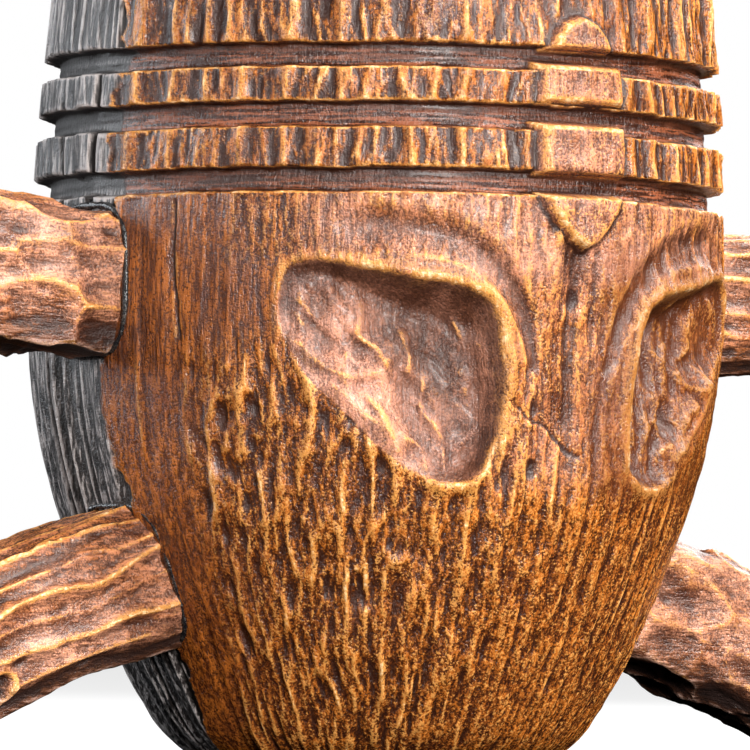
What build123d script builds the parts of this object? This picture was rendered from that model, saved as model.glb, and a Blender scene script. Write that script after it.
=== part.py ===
"""Carved wooden tiki mug: a turned and hollowed body with four carved limbs.

Every limb is a separate piece of wood.  It sits on the outside of the body on a
thin bed of dark glue, and two dowels run from the limb into the wall.

Units are millimetres, +Z is up and the origin is the centre of the foot.  The
face looks towards -Y, so the figure's own right side is -X.
"""

from math import cos, radians, sin
import os

from build123d import *

# ---------------------------------------------------------------- driving dimensions
# Turned body, outside
mug_height = 150.0
rim_radius = 36.0
neck_bulge = 0.6
shoulder_radius = 42.8
shoulder_height = 101.0
belly_radius = 45.0
belly_height = 67.0
flank_radius = 43.6
flank_height = 45.0
hip_radius = 36.4
hip_height = 23.2
heel_radius = 28.4
heel_height = 7.6
foot_radius = 18.5

# Drinking bore
bore_radius = 30.0
bowl_round = 22.0
floor_thickness = 16.0
lip_round = 1.6

# Turned grooves and the bands between them
groove_width = 3.0
groove_depth = 1.9
lower_groove_height = 73.7
lower_band_width = 5.2
upper_band_width = 4.4

# Raised strap that the grooves cross
strap_relief = 1.3
strap_half_width = 7.0
strap_tip_drop = 6.5
strap_top_rise = 4.0

# Eye sockets
eye_azimuth = 30.0
eye_half_width = 15.0
eye_top_height = 64.6
eye_bottom_height = 38.2
socket_depth = 6.0
socket_tilt = 7.0

# Brow channels above the sockets
brow_depth = 0.9
brow_width = 4.4
brow_gap = 2.6
brow_end_height = 53.5

# Limbs
limb_height = 18.8
limb_depth = 16.0
limb_round = 5.0
arm_height = 63.0
arm_reach = 80.0
arm_rise = 3.0
hand_length = 5.0
leg_root_height = 25.5
leg_slope = 17.0
leg_reach = 84.0
foot_height = 21.0
foot_depth = 19.0
foot_length = 8.0
tip_share = 0.72

# Joinery
glue_thickness = 0.4
glue_overlap = 0.9
glue_gap = 0.02
dowel_radius = 2.5
dowel_in_limb = 8.0
dowel_in_body = 6.0
dowel_cover = 2.7
dowel_side_gap = 0.03
dowel_end_gap = 0.5

# ---------------------------------------------------------------- worked-out heights
bands = (lower_band_width, upper_band_width)
groove_heights = [lower_groove_height]
for band in bands:
    groove_heights.append(groove_heights[-1] + groove_width + band)
neck_radius = (shoulder_radius + rim_radius) / 2 + neck_bulge
neck_height = (shoulder_height + mug_height) / 2
strap_tip_height = groove_heights[0] - strap_tip_drop
strap_top_height = groove_heights[-1] + groove_width + strap_top_rise
cutter_margin = 8.0
root_overrun = 12.0
leg_direction = Vector(cos(radians(leg_slope)), 0, -sin(radians(leg_slope)))
arm_direction = Vector(1, 0, 0)


# ---------------------------------------------------------------- shared forms
def turned_form(grow):
    """The turned outside as a solid, with its side moved out by grow."""
    side_points = [
        (foot_radius + grow, 0),
        (heel_radius + grow, heel_height),
        (hip_radius + grow, hip_height),
        (flank_radius + grow, flank_height),
        (belly_radius + grow, belly_height),
        (shoulder_radius + grow, shoulder_height),
        (neck_radius + grow, neck_height),
        (rim_radius + grow, mug_height),
    ]
    with BuildPart() as form:
        with BuildSketch(Plane.XZ):
            with BuildLine():
                side = Spline(*side_points)
                Polyline(side @ 1, (0, mug_height), (0, 0), side @ 0)
            make_face()
        revolve(axis=Axis.Z)
    return form.part


def eye_plane(turn=0.0):
    """An upright plane through the axis, facing out through the figure's right eye."""
    angle = radians(eye_azimuth + turn)
    facing = (-sin(angle), -cos(angle), 0)
    along = (cos(angle), -sin(angle), 0)
    return Plane(origin=(0, 0, 0), x_dir=along, z_dir=facing)


def eye_form(grow=0.0):
    """A straight bar with the outline of the right socket, from the axis out past the wall."""
    reach = eye_half_width + grow
    top = eye_top_height + grow
    low = eye_bottom_height - grow
    height = top - low
    outline = [
        (-0.78 * reach, top - 0.5),
        (-0.10 * reach, top - 0.9),
        (0.68 * reach, top - 0.18 * height),
        (1.00 * reach, top - 0.48 * height),
        (0.86 * reach, top - 0.90 * height),
        (0.45 * reach, low),
        (-0.25 * reach, low + 0.22 * height),
        (-0.86 * reach, low + 0.53 * height),
        (-1.00 * reach, low + 0.78 * height),
    ]
    with BuildPart() as form:
        with BuildSketch(eye_plane()):
            with BuildLine():
                Spline(*outline, periodic=True)
            make_face()
        extrude(amount=belly_radius + cutter_margin)
    return form.part


def limb_form(side, stations):
    """A limb lofted through rounded sections.

    stations holds (place, direction, height, depth) for the side on +X.
    """
    with BuildPart() as form:
        for place, direction, height, depth in stations:
            origin = (side * place.X, place.Y, place.Z)
            facing = (side * direction.X, direction.Y, direction.Z)
            with BuildSketch(Plane(origin=origin, x_dir=(0, 1, 0), z_dir=facing)):
                RectangleRounded(depth, height, limb_round)
        loft(ruled=True)
    return form.part


def dowel_line(root, direction, side, offset):
    """The plane at one dowel's middle, where the limb's axis crosses the body's side."""
    up = Vector(-direction.Z, 0, direction.X)
    centre = root + up * offset
    return Plane(
        origin=(side * centre.X, centre.Y, centre.Z),
        x_dir=(0, 1, 0),
        z_dir=(side * direction.X, direction.Y, direction.Z),
    )


def rod(plane, radius, inside, outside):
    """A round bar along a plane's normal, from inside the body to outside it."""
    with BuildPart() as bar:
        with BuildSketch(plane.offset(-inside)):
            Circle(radius)
        extrude(amount=inside + outside)
    return bar.part


def side_point(height):
    """Where the turned side is at that height, on +X at Y 0."""
    start = Vector(0, 0, height)
    crossing = outside_form.intersect(Edge.make_line(start, start + arm_direction * (3 * belly_radius)))
    ends = [vertex for edge in crossing.edges() for vertex in edge.vertices()]
    return Vector(*tuple(max(ends, key=lambda vertex: vertex.X)))


outside_form = turned_form(0.0)
glue_form = turned_form(glue_thickness)
glue_seat = turned_form(glue_gap)
strap_skin = turned_form(strap_relief)
groove_floor = turned_form(-groove_depth)
brow_floor = turned_form(-brow_depth)

arm_root = side_point(arm_height)
leg_root = side_point(leg_root_height)

# Sections of the limbs, from inside the body's side to the free end
arm_wrist = Vector(arm_reach - hand_length, 0, arm_height + arm_rise)
arm_end = Vector(arm_reach, 0, arm_height + arm_rise)
arm_stations = [
    (arm_root - arm_direction * root_overrun, arm_direction, limb_height, limb_depth),
    ((arm_root + arm_wrist) * 0.5, arm_direction, limb_height, limb_depth),
    (arm_wrist, arm_direction, limb_height, limb_depth),
    (arm_end, arm_direction, tip_share * limb_height, tip_share * limb_depth),
]
foot_ankle = Vector(leg_reach - foot_length, 0, foot_height / 2)
foot_end = Vector(leg_reach, 0, tip_share * foot_height / 2)
leg_stations = [
    (leg_root - leg_direction * root_overrun, leg_direction, limb_height, limb_depth),
    (leg_root + leg_direction * root_overrun, leg_direction, limb_height, limb_depth),
    (foot_ankle, Vector(1, 0, 0), foot_height, foot_depth),
    (foot_end, Vector(1, 0, 0), tip_share * foot_height, tip_share * foot_depth),
]

# Each limb: name, side, where it meets the body, its direction and its sections
limbs = [
    ("right_arm", -1, arm_root, arm_direction, arm_stations),
    ("left_arm", 1, arm_root, arm_direction, arm_stations),
    ("right_leg", -1, leg_root, leg_direction, leg_stations),
    ("left_leg", 1, leg_root, leg_direction, leg_stations),
]
dowel_offset = limb_height / 2 - dowel_radius - dowel_cover
dowel_offsets = (dowel_offset, -dowel_offset)

# ---------------------------------------------------------------- body
with BuildPart() as strap:
    with BuildSketch(Plane.XZ):
        with BuildLine():
            Spline(
                (0, strap_tip_height),
                (0.55 * strap_half_width, strap_tip_height + 3.2),
                (strap_half_width, strap_tip_height + 10.5),
                (strap_half_width, strap_top_height - 10.0),
                (0.72 * strap_half_width, strap_top_height - 3.6),
                (0, strap_top_height),
                tangents=[(1.0, 0.2), (-1.0, 0.0)],
            )
            Line((0, strap_top_height), (0, strap_tip_height))
        make_face()
        mirror(about=Plane.YZ)
    extrude(amount=belly_radius + cutter_margin)
    add(strap_skin, mode=Mode.INTERSECT)

with BuildPart() as grooves:
    for height in groove_heights:
        with BuildSketch(Plane.XY.offset(height)):
            Circle(belly_radius + cutter_margin)
        extrude(amount=groove_width)
    add(groove_floor, mode=Mode.SUBTRACT)

with BuildPart() as bore:
    with BuildSketch(Plane.XZ):
        with BuildLine():
            FilletPolyline(
                (0, floor_thickness),
                (bore_radius, floor_thickness),
                (bore_radius, mug_height + cutter_margin),
                radius=bowl_round,
            )
            Polyline(
                (bore_radius, mug_height + cutter_margin),
                (0, mug_height + cutter_margin),
                (0, floor_thickness),
            )
        make_face()
    revolve(axis=Axis.Z)

# Each socket is cut down to a flat floor that is tilted, so that it is deepest by the nose
with BuildPart() as sockets:
    add(eye_form())
    with BuildSketch(eye_plane(socket_tilt)):
        Rectangle(4 * belly_radius, 4 * mug_height)
    extrude(amount=belly_radius - socket_depth, mode=Mode.SUBTRACT)
    with BuildSketch(eye_plane(socket_tilt)):
        Rectangle(4 * belly_radius, 4 * mug_height)
    extrude(amount=-2 * belly_radius, mode=Mode.SUBTRACT)
    mirror(about=Plane.YZ)

# A shallow channel runs over each eye, outside the rim that it leaves round the socket
with BuildPart() as brows:
    add(eye_form(brow_gap + brow_width))
    add(eye_form(brow_gap), mode=Mode.SUBTRACT)
    with BuildSketch(Plane.XY):
        Circle(3 * belly_radius)
    extrude(amount=brow_end_height, mode=Mode.SUBTRACT)
    add(brow_floor, mode=Mode.SUBTRACT)
    mirror(about=Plane.YZ)

with BuildPart() as mug_body:
    add(outside_form)
    add(strap.part)
    add(grooves.part, mode=Mode.SUBTRACT)
    add(brows.part, mode=Mode.SUBTRACT)
    add(sockets.part, mode=Mode.SUBTRACT)
    add(bore.part, mode=Mode.SUBTRACT)
    for _, side, root, direction, _ in limbs:
        for offset in dowel_offsets:
            line = dowel_line(root, direction, side, offset)
            hole = rod(line, dowel_radius + dowel_side_gap, dowel_in_body + dowel_end_gap, cutter_margin)
            add(hole, mode=Mode.SUBTRACT)
    mouth = mug_body.edges().filter_by(GeomType.CIRCLE).group_by(Axis.Z)[-1]
    fillet(mouth, lip_round)

# ---------------------------------------------------------------- limbs, dowels and glue
pieces = {"mug_body": mug_body.part}
for name, side, root, direction, stations in limbs:
    whole = limb_form(side, stations)
    lines = [dowel_line(root, direction, side, offset) for offset in dowel_offsets]

    with BuildPart() as limb:
        add(whole)
        add(glue_form, mode=Mode.SUBTRACT)
        for line in lines:
            hole = rod(line, dowel_radius + dowel_side_gap, cutter_margin, dowel_in_limb + dowel_end_gap)
            add(hole, mode=Mode.SUBTRACT)
    pieces[name] = limb.part

    grown = [
        (place, axis, height + 2 * glue_overlap, depth + 2 * glue_overlap)
        for place, axis, height, depth in stations
    ]
    with BuildPart() as glue:
        add(limb_form(side, grown[:2]))
        add(glue_form, mode=Mode.INTERSECT)
        add(glue_seat, mode=Mode.SUBTRACT)
        for line in lines:
            add(rod(line, dowel_radius + dowel_side_gap, cutter_margin, cutter_margin), mode=Mode.SUBTRACT)
    pieces[name + "_glue_bed"] = glue.part

    for line, row in zip(lines, ("upper", "lower")):
        pieces[f"{name}_{row}_dowel"] = rod(line, dowel_radius, dowel_in_body, dowel_in_limb)

# ---------------------------------------------------------------- files
os.makedirs("parts", exist_ok=True)
for name, piece in pieces.items():
    piece.label = name
    export_step(piece, f"parts/{name}.step")
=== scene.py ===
"""Looks of the carved tiki mug.

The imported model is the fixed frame.  The body, the limbs and the glue are carved again here as
finer meshes in the same places, and each finish is built from nodes.

Lengths inside the classes are millimetres and azimuths are degrees from the face, with the
figure's own left positive.  Meshes are written in metres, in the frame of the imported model.
"""

from __future__ import annotations

import logging
import math
from dataclasses import dataclass, field
from enum import Enum
from typing import Any, Iterator, Sequence

import bpy
import numpy as np
from mathutils import Matrix, Vector


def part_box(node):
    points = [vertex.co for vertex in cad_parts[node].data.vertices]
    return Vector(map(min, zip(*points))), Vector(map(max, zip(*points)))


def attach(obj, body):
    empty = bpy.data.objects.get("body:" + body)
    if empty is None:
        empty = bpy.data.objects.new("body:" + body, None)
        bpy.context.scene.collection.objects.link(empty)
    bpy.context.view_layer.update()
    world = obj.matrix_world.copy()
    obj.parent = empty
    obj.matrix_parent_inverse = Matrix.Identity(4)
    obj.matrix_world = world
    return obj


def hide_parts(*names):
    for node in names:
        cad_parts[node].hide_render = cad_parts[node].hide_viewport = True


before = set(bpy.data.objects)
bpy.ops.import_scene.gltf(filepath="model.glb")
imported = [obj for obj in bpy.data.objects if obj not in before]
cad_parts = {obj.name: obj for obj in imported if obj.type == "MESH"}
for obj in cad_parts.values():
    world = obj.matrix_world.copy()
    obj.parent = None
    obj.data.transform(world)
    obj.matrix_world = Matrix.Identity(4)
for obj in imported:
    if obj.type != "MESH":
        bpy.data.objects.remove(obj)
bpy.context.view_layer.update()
ROOT = "root"
MM = 0.001

LOG = logging.getLogger("tiki_mug")
Field = np.ndarray


# ------------------------------------------------------------------------------------ shaping
def smoothstep(low: float, high: float, value: Field) -> Field:
    """Return an eased ramp that is 0 at low and 1 at high."""
    share = np.clip((value - low) / (high - low), 0.0, 1.0)
    return share * share * (3.0 - 2.0 * share)


def window(low: float, high: float, edge: float, value: Field) -> Field:
    """Return 1 between low and high, fading to 0 over edge outside them."""
    return smoothstep(low - edge, low, value) * (1.0 - smoothstep(high, high + edge, value))


def soft_min(first: Field, second: Field, sharpness: float) -> Field:
    """Return the smaller of two heights, blended where they are close."""
    return -np.logaddexp(-sharpness * first, -sharpness * second) / sharpness


def soft_max(first: Field, second: Field, sharpness: float) -> Field:
    """Return the larger of two heights, blended where they are close."""
    return np.logaddexp(sharpness * first, sharpness * second) / sharpness


def through(points: Sequence[tuple[float, float]], count: int, closed: bool = False) -> Field:
    """Sample a smooth curve through a few points.

    Args:
        points: the points that the curve passes.
        count: how many samples each span gets.
        closed: whether the curve returns to its first point.

    Returns:
        The samples as an array of pairs.
    """
    p = np.array(points, float)
    if closed:
        p = np.vstack([p[-1], p, p[:2]])
    else:
        p = np.vstack([2 * p[0] - p[1], p, 2 * p[-1] - p[-2]])
    t = (np.arange(count) / count)[:, None]
    spans = []
    for a, b, c, d in zip(p[:-3], p[1:-2], p[2:-1], p[3:]):
        bend = (2 * a - 5 * b + 4 * c - d) * t * t + (3 * b - a - 3 * c + d) * t ** 3
        spans.append(0.5 * (2 * b + (c - a) * t + bend))
    spans.append(p[1:2] if closed else p[-2:-1])
    return np.vstack(spans)


def to_path(s: Field, z: Field, path: Field) -> tuple[Field, Field]:
    """Measure from every place to a path.

    Args:
        s: the places across, in mm.
        z: the places' heights, in mm.
        path: the path's points.

    Returns:
        The distance, and how far along the path the nearest point is, from 0 to 1.
    """
    best = np.full(s.shape, np.inf)
    share = np.zeros(s.shape)
    for index, (start, end) in enumerate(zip(path[:-1], path[1:])):
        run = end - start
        along = np.clip(((s - start[0]) * run[0] + (z - start[1]) * run[1]) / (run @ run), 0, 1)
        gap = (s - start[0] - along * run[0]) ** 2 + (z - start[1] - along * run[1]) ** 2
        near = gap < best
        best = np.where(near, gap, best)
        share = np.where(near, (index + along) / (len(path) - 1), share)
    return np.sqrt(best), share


def depth_inside(s: Field, z: Field, loop: Field) -> Field:
    """Return how far each place is inside a closed outline, negative outside it."""
    inside = np.zeros(s.shape, bool)
    for start, end in zip(loop[:-1], loop[1:]):
        if start[1] != end[1]:
            spans = (start[1] > z) != (end[1] > z)
            crossing = start[0] + (z - start[1]) / (end[1] - start[1]) * (end[0] - start[0])
            inside ^= spans & (s < crossing)
    gap, _ = to_path(s, z, loop)
    return np.where(inside, gap, -gap)


@dataclass(frozen=True)
class Tool:
    """The marks that one carving tool leaves, over a surface laid out flat.

    Attributes:
        width: how wide one mark is across, in mm.
        length: how long one mark is along the grain, in mm.
        seed: what its random numbers start from.
        around: the length after which the surface meets itself across, in mm.
    """

    width: float
    length: float
    seed: int
    around: float

    # How many marks lie along the grain before the random numbers start again.
    ROWS = 512
    # A facet starts at up to the lift and rises with the square of the distance from its middle, counted
    # in marks.  That sum is 1 high at the reach, and is cut off at the top.
    FACET_LIFT = 0.16
    FACET_REACH = 0.55
    FACET_TOP = 1.3

    @property
    def count(self) -> int:
        """Return how many marks go round the surface."""
        return max(1, round(self.around / self.width))

    def cells(self, s: Field, z: Field) -> tuple[Field, Field, Field, Field]:
        """Return the mark that each place is in, across and along, and where in the mark it is."""
        x, y = s * self.count / self.around, z / self.length
        i, j = np.floor(x).astype(int), np.floor(y).astype(int)
        return i, j, x - i, y - j

    def neighbours(self, s: Field, z: Field, shift: Field) -> Iterator[tuple[Any, Field, Field]]:
        """Yield the nine marks round each place, and how far the place is from each one's middle."""
        i, j, u, v = self.cells(s, z)
        for di in (-1, 0, 1):
            for dj in (-1, 0, 1):
                mark = (i + di) % self.count, (j + dj) % self.ROWS
                yield mark, u - di - shift[0][mark], v - dj - shift[1][mark]

    def noise(self, s: Field, z: Field) -> Field:
        """Return a smooth random height from -1 to 1."""
        table = np.random.default_rng(self.seed).uniform(-1, 1, (self.count, self.ROWS))
        i, j, u, v = self.cells(s, z)
        u, v = u * u * (3 - 2 * u), v * v * (3 - 2 * v)
        i, i1, j, j1 = i % self.count, (i + 1) % self.count, j % self.ROWS, (j + 1) % self.ROWS
        low = table[i, j] * (1 - u) + table[i1, j] * u
        high = table[i, j1] * (1 - u) + table[i1, j1] * u
        return low * (1 - v) + high * v

    def rough(self, s: Field, z: Field, octaves: int = 3) -> Field:
        """Return noise with finer noise on it, from about -1 to 1."""
        total = np.zeros(s.shape)
        for octave in range(octaves):
            parts = 2 ** octave
            finer = Tool(self.width / parts, self.length / parts, self.seed + octave, self.around)
            total += finer.noise(s, z) / parts
        return total / 1.5

    def facets(self, s: Field, z: Field, jitter: float = 0.8, lean: float = 0.0) -> Field:
        """Return scooped facets that meet in sharp ridges.

        Args:
            s: the places across, in mm.
            z: the places' heights, in mm.
            jitter: how far the facets stray from even rows, from 0 to 1.
            lean: how much nearer to its upper end each facet is deepest, from 0 to 1.

        Returns:
            The height, from 0 in the hollows to about 1 and at most 1.3 on the ridges.
        """
        rng, shape = np.random.default_rng(self.seed), (self.count, self.ROWS)
        shift = rng.uniform(0.5 - jitter / 2, 0.5 + jitter / 2, (2, *shape))
        lift = rng.uniform(0.0, self.FACET_LIFT, shape)
        best = np.full(s.shape, np.inf)
        for mark, across, rise in self.neighbours(s, z, shift):
            rise = rise * np.where(rise > 0, 1 + lean, 1 - lean)
            best = np.minimum(best, across ** 2 + rise ** 2 + lift[mark])
        return np.clip(best / self.FACET_REACH, 0.0, self.FACET_TOP)

    def scoops(self, s: Field, z: Field, share: float, reach: float = 0.46) -> Field:
        """Return separate oval scoops.

        Args:
            s: the places across, in mm.
            z: the places' heights, in mm.
            share: how many of the places for a scoop hold one, from 0 to 1.
            reach: a scoop's half size as a share of its place.

        Returns:
            The depth, from 0 outside the scoops to 1 in the deepest.
        """
        rng, shape = np.random.default_rng(self.seed), (self.count, self.ROWS)
        shift = rng.uniform(0.2, 0.8, (2, *shape))
        size = rng.uniform(0.6, 1.15, shape) * reach
        deep = np.where(rng.uniform(size=shape) < share, rng.uniform(0.45, 1.0, shape), 0.0)
        best = np.zeros(s.shape)
        for mark, across, along in self.neighbours(s, z, shift):
            bowl = 1 - (across / size[mark]) ** 2 - (along / size[mark]) ** 2
            best = np.maximum(best, deep[mark] * np.clip(bowl, 0, 1))
        return best


def blurred(height: Field, taps: tuple[int, int]) -> Field:
    """Return a grid of heights softened over some rows and columns.

    Args:
        height: the heights, with rows along and columns that meet round the surface.
        taps: how many rows and columns each side are averaged.

    Returns:
        The softened heights.
    """
    out = height
    for axis, (reach, mode) in enumerate(zip(taps, ("edge", "wrap"))):
        pad = [(0, 0), (0, 0)]
        pad[axis] = (reach + 1, reach)
        low = np.arange(height.shape[axis])
        for _ in range(2):
            total = np.cumsum(np.pad(out, pad, mode=mode), axis=axis)
            upper, lower = np.take(total, low + 2 * reach + 1, axis=axis), np.take(total, low, axis=axis)
            out = (upper - lower) / (2 * reach + 1)
    return out


def spread(*values: Any) -> Field:
    """Return points or places whose numbers are the values, each spread over the others."""
    return np.stack(np.broadcast_arrays(*values), -1)


# -------------------------------------------------------------------------------------- meshes
@dataclass
class Faces:
    """The points and faces of one closed piece, and what is laid over them.

    Attributes:
        points: the points, in mm.
        corners: every face's points, one face after another.
        sizes: how many corners each face has, 3 or 4.
        places: each corner's place on the map, or nothing for a piece without one.
        paint: named values, one for each point.
    """

    points: Field
    corners: Field
    sizes: Field
    places: Field | None = None
    paint: dict[str, Field] = field(default_factory=dict)

    @property
    def starts(self) -> Field:
        """Return where each face starts among the corners."""
        return np.concatenate([[0], np.cumsum(self.sizes)[:-1]])

    def volume(self) -> float:
        """Return the signed volume, which is negative if the faces look inwards."""
        total = 0.0
        for starts, turn in ((self.starts, (0, 1, 2)), (self.starts[self.sizes == 4], (0, 2, 3))):
            a, b, c = (self.points[self.corners[starts + k]] for k in turn)
            total += np.einsum("ij,ij->i", a, np.cross(b, c)).sum() / 6
        return float(total)

    def build(self, name: str) -> bpy.types.Object:
        """Write the faces as a smooth-shaded object that looks outwards.

        Args:
            name: the piece's name.

        Returns:
            The new object, in the scene.
        """
        mesh = bpy.data.meshes.new(name)
        mesh.vertices.add(len(self.points))
        mesh.vertices.foreach_set("co", (self.points * MM).astype(np.float32).ravel())
        mesh.loops.add(len(self.corners))
        mesh.loops.foreach_set("vertex_index", self.corners.astype(np.int32))
        mesh.polygons.add(len(self.sizes))
        mesh.polygons.foreach_set("loop_start", self.starts.astype(np.int32))
        mesh.update(calc_edges=True)
        mesh.polygons.foreach_set("use_smooth", np.ones(len(self.sizes), bool))
        if self.places is not None:
            mesh.uv_layers.new(name="OFBake").data.foreach_set("uv", self.places.astype(np.float32).ravel())
        for label, values in self.paint.items():
            layer = mesh.attributes.new(label, "FLOAT", "POINT")
            layer.data.foreach_set("value", values.astype(np.float32))
        if self.volume() < 0:
            mesh.flip_normals()
        piece = bpy.data.objects.new(name, mesh)
        bpy.context.scene.collection.objects.link(piece)
        return piece


@dataclass
class Skin:
    """A closed surface of rings between two poles, and the values painted on it.

    Attributes:
        rings: the points, as rows of rings, in mm.
        poles: the points that close the first and the last ring, in mm.
        paint: named values, one for each point of the rings. A pole takes the mean of its ring's.
    """

    rings: Field
    poles: tuple[Sequence[float], Sequence[float]]
    paint: dict[str, Field]

    def places(self) -> Field:
        """Return each corner's place on the map: its turn across, and its share of the length up."""
        columns = self.rings.shape[1]
        steps = np.linalg.norm(np.diff(self.rings, axis=0), axis=2).mean(1)
        reach = [np.linalg.norm(self.rings[k] - self.poles[k], axis=1).mean() for k in (0, -1)]
        height = np.cumsum([reach[0], *steps])
        height = height / (height[-1] + reach[1])
        left, right = np.arange(columns) / columns, np.arange(1, columns + 1) / columns
        low, high, middle = height[:-1, None], height[1:, None], (left + right) / 2
        quads = np.stack([spread(left, low), spread(right, low), spread(right, high), spread(left, high)], 2)
        first = np.stack([spread(middle, 0.0), spread(right, height[0]), spread(left, height[0])], 1)
        last = np.stack([spread(middle, 1.0), spread(left, height[-1]), spread(right, height[-1])], 1)
        return np.concatenate([part.reshape(-1, 2) for part in (quads, first, last)])

    def build(self, name: str) -> bpy.types.Object:
        """Build the surface as an object of this name."""
        rows, columns = self.rings.shape[:2]
        j = np.arange(columns)
        after = (j + 1) % columns
        low, top, pole = np.arange(rows - 1)[:, None] * columns, (rows - 1) * columns, rows * columns
        quads = spread(low + j, low + after, low + columns + after, low + columns + j)
        corners = [quads, spread(pole, after, j), spread(pole + 1, top + j, top + after)]
        paint = {k: [v.ravel(), [v[0].mean(), v[-1].mean()]] for k, v in self.paint.items()}
        return Faces(
            points=np.vstack([self.rings.reshape(-1, 3), *self.poles]),
            corners=np.concatenate([part.ravel() for part in corners]),
            sizes=np.repeat([4, 3], [(rows - 1) * columns, 2 * columns]),
            places=self.places(),
            paint={label: np.concatenate(parts) for label, parts in paint.items()},
        ).build(name)


# ------------------------------------------------------------------------------------- shaders
class Wire:
    """A shader socket that takes part in sums: an expression on it adds its Math nodes."""

    def __init__(self, paints: "Paints", socket: bpy.types.NodeSocket) -> None:
        """Wrap a socket of the tree that paints builds."""
        self.paints = paints
        self.socket = socket

    def _math(self, operation: str, *values: Any) -> "Wire":
        """Return the result of one Math node."""
        return self.paints.node("ShaderNodeMath", {"operation": operation}, dict(enumerate(values)))

    def __add__(self, other: Any) -> "Wire":
        """Return self + other."""
        return self._math("ADD", self, other)

    __radd__ = __add__

    def __mul__(self, other: Any) -> "Wire":
        """Return self * other."""
        return self._math("MULTIPLY", self, other)

    __rmul__ = __mul__

    def __sub__(self, other: Any) -> "Wire":
        """Return self - other."""
        return self._math("SUBTRACT", self, other)

    def __rsub__(self, other: Any) -> "Wire":
        """Return other - self."""
        return self._math("SUBTRACT", other, self)

    def ramp(self, low: float, high: float) -> "Wire":
        """Return 0 at low and 1 at high, eased between them."""
        inputs = {"Value": self, "From Min": low, "From Max": high}
        return self.paints.node("ShaderNodeMapRange", {"interpolation_type": "SMOOTHSTEP"}, inputs)

    def sine(self) -> "Wire":
        """Return the sine of the value."""
        return self._math("SINE", self)

    def clamp(self) -> "Wire":
        """Return the value kept between 0 and 1."""
        return self.paints.node("ShaderNodeClamp", {}, {"Value": self})


Colour = tuple[float, float, float]


class Paints:
    """Builds one material's nodes."""

    def __init__(self, name: str) -> None:
        """Start a material with a Principled surface."""
        self.material = bpy.data.materials.new(name)
        self.material.use_nodes = True
        self.tree = self.material.node_tree
        self.shader = self.tree.nodes["Principled BSDF"]

    def node(self, kind: str, settings: dict[str, Any], inputs: dict[Any, Any], output: Any = 0) -> Wire:
        """Add one node.

        Args:
            kind: the node's type.
            settings: its own settings, set before its sockets.
            inputs: a value or a wire for each socket, by name or place.
            output: which of its outputs is wanted, by name or place.

        Returns:
            The output as a wire.
        """
        made = self.tree.nodes.new(kind)
        for label, value in settings.items():
            setattr(made, label, value)
        for place, value in inputs.items():
            self.feed(made.inputs[place], value)
        return Wire(self, made.outputs[output])

    def feed(self, socket: bpy.types.NodeSocket, value: Any) -> None:
        """Set a socket to a value, or link a wire to it."""
        if isinstance(value, Wire):
            self.tree.links.new(value.socket, socket)
        elif isinstance(value, tuple) and len(value) == 3 and socket.type == "RGBA":
            socket.default_value = (*value, 1.0)
        else:
            socket.default_value = value

    def painted(self, label: str) -> Wire:
        """Return a value painted on the mesh."""
        return self.node("ShaderNodeAttribute", {"attribute_name": label}, {}, "Fac")

    def place(self, stretch: Colour) -> Wire:
        """Return the place on the object, squeezed by a factor along each axis."""
        spot = self.node("ShaderNodeTexCoord", {}, {}, "Object")
        return self.node("ShaderNodeVectorMath", {"operation": "MULTIPLY"}, {0: spot, 1: stretch})

    def noise(self, spot: Wire, per_mm: float, detail: float = 3.0, rough: float = 0.55) -> Wire:
        """Return noise from 0 to 1 with this many waves to a millimetre."""
        inputs = {"Vector": spot, "Scale": per_mm / MM, "Detail": detail, "Roughness": rough}
        return self.node("ShaderNodeTexNoise", {}, inputs)

    def mix(self, share: Any, below: Any, above: Any) -> Wire:
        """Return a colour between two, by share."""
        # The Mix node has a set of sockets for each kind of data, and 6, 7 and 2 are the colours' own.
        return self.node("ShaderNodeMix", {"data_type": "RGBA"}, {0: share, 6: below, 7: above}, 2)

    def bump(self, height: Wire, depth: float) -> Wire:
        """Return the normal bent by a height, whose full range is depth mm deep."""
        return self.node("ShaderNodeBump", {}, {"Strength": 1.0, "Distance": depth * MM, "Height": height})

    def finish(self, **sockets: Any) -> bpy.types.Material:
        """Feed the surface, with each socket's name written with underscores."""
        for label, value in sockets.items():
            self.feed(self.shader.inputs[label.replace("_", " ")], value)
        return self.material


class Grain(Enum):
    """Which way the wood's fibres run, as how the pattern is squeezed along each axis."""

    UPRIGHT = (1.0, 1.0, 0.12)
    ACROSS = (0.13, 1.0, 1.0)
    NONE = (1.0, 1.0, 1.0)


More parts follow.
